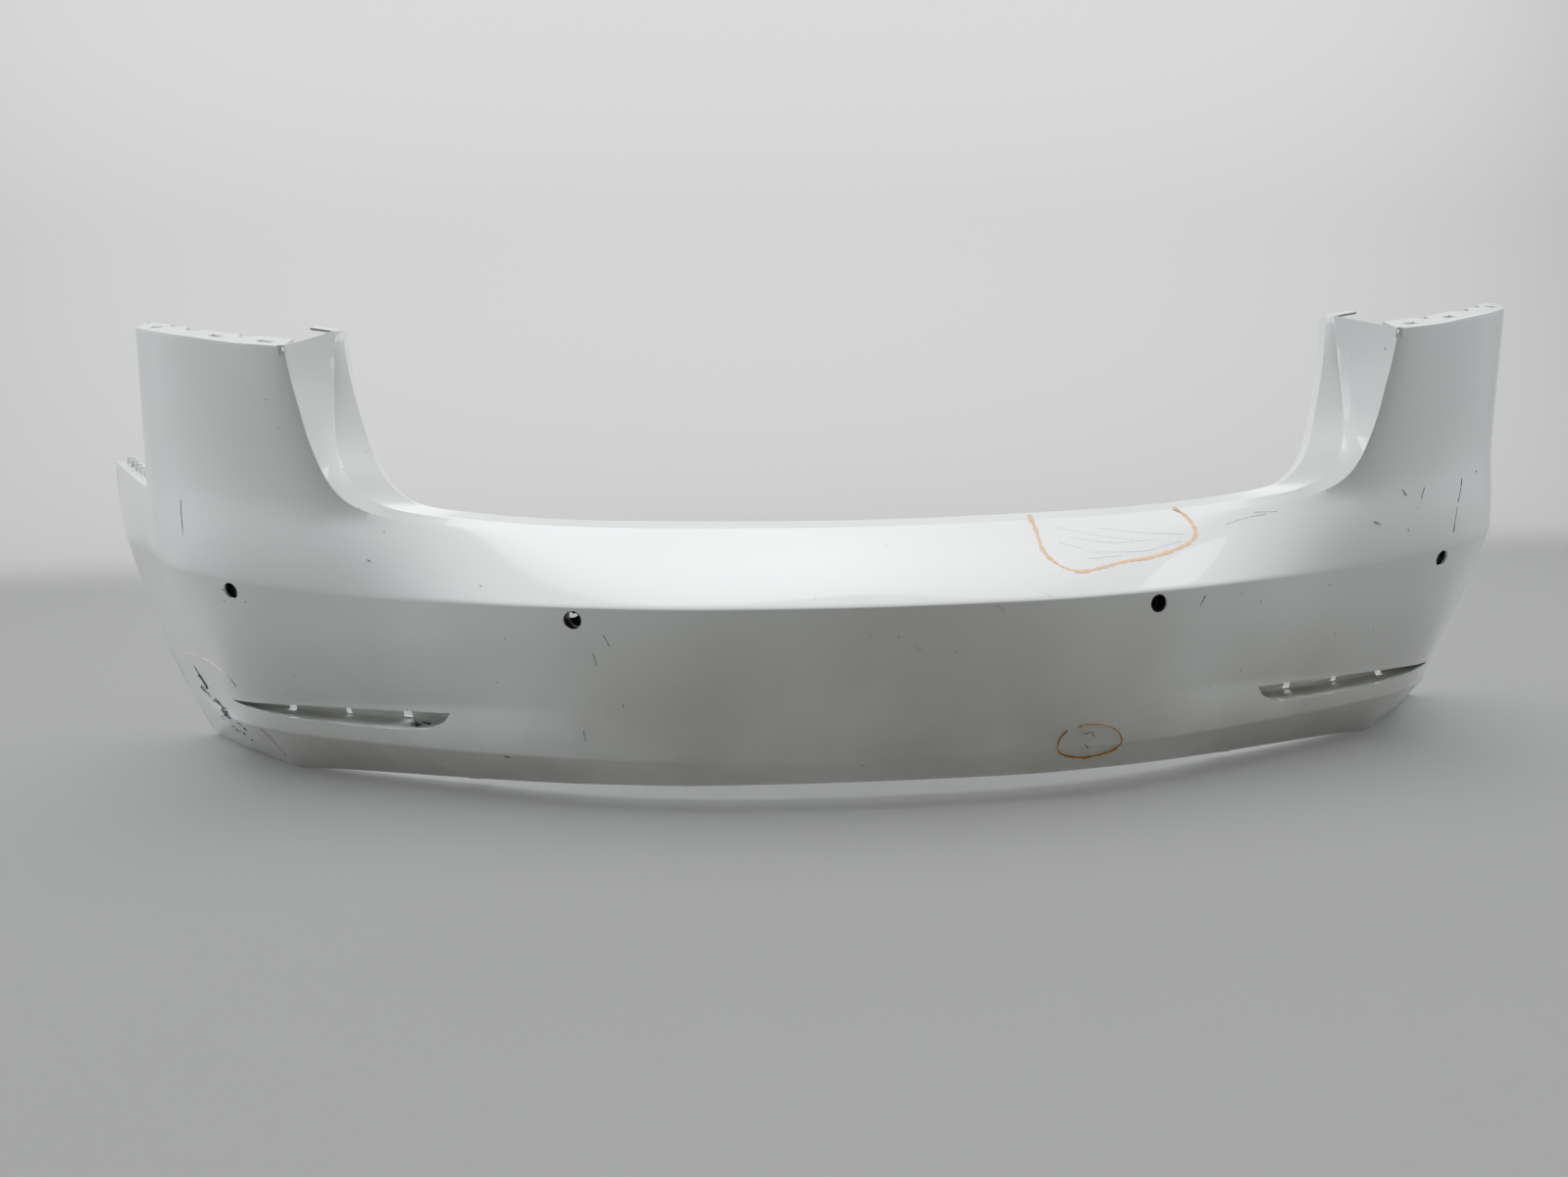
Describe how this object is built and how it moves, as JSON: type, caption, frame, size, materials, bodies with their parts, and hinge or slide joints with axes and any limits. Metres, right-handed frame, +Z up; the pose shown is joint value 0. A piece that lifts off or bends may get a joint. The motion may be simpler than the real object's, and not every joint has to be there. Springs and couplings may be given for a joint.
{
  "type": "rear bumper cover",
  "caption": "Rear bumper cover with boot-opening cut-out, tail lamp pillars, wrap-round wings, reflector pockets and sensor holes with holders behind them.",
  "frame": {"origin": "middle of the cover's bounding box at its lowest level, on the car's centre plane", "axes": "+X across the car to the right as seen from behind it, +Y forward into the car, +Z up; the painted rear face looks to -Y"},
  "size_m": [1.876, 0.5254, 0.5175],
  "materials": {
    "white_paint": "glossy white paint with clear coat on moulded polypropylene, scuffed at one lower corner",
    "black_plastic": "satin black moulded plastic",
    "adhesive_pad": "dark grey foam adhesive pad",
    "nut_steel": "zinc-plated spring steel"
  },
  "bodies": {
    "root": {"skin": "white_paint", "adhesive_ring_left_inner": "adhesive_pad", "adhesive_ring_left_outer": "adhesive_pad", "adhesive_ring_right_inner": "adhesive_pad", "adhesive_ring_right_outer": "adhesive_pad", "sensor_holder_left_inner": "black_plastic", "sensor_holder_left_outer": "black_plastic", "sensor_holder_right_inner": "black_plastic", "sensor_holder_right_outer": "black_plastic", "wing_retainer_left": "black_plastic", "wing_retainer_right": "black_plastic", "pillar_bracket_left": "black_plastic", "pillar_bracket_right": "black_plastic", "arch_nut_left_1": "nut_steel", "arch_nut_left_2": "nut_steel", "arch_nut_left_3": "nut_steel", "arch_nut_right_1": "nut_steel", "arch_nut_right_2": "nut_steel", "arch_nut_right_3": "nut_steel", "lower_nut_left_1": "nut_steel", "lower_nut_left_2": "nut_steel", "lower_nut_right_1": "nut_steel", "lower_nut_right_2": "nut_steel"}
  },
  "joints": []
}
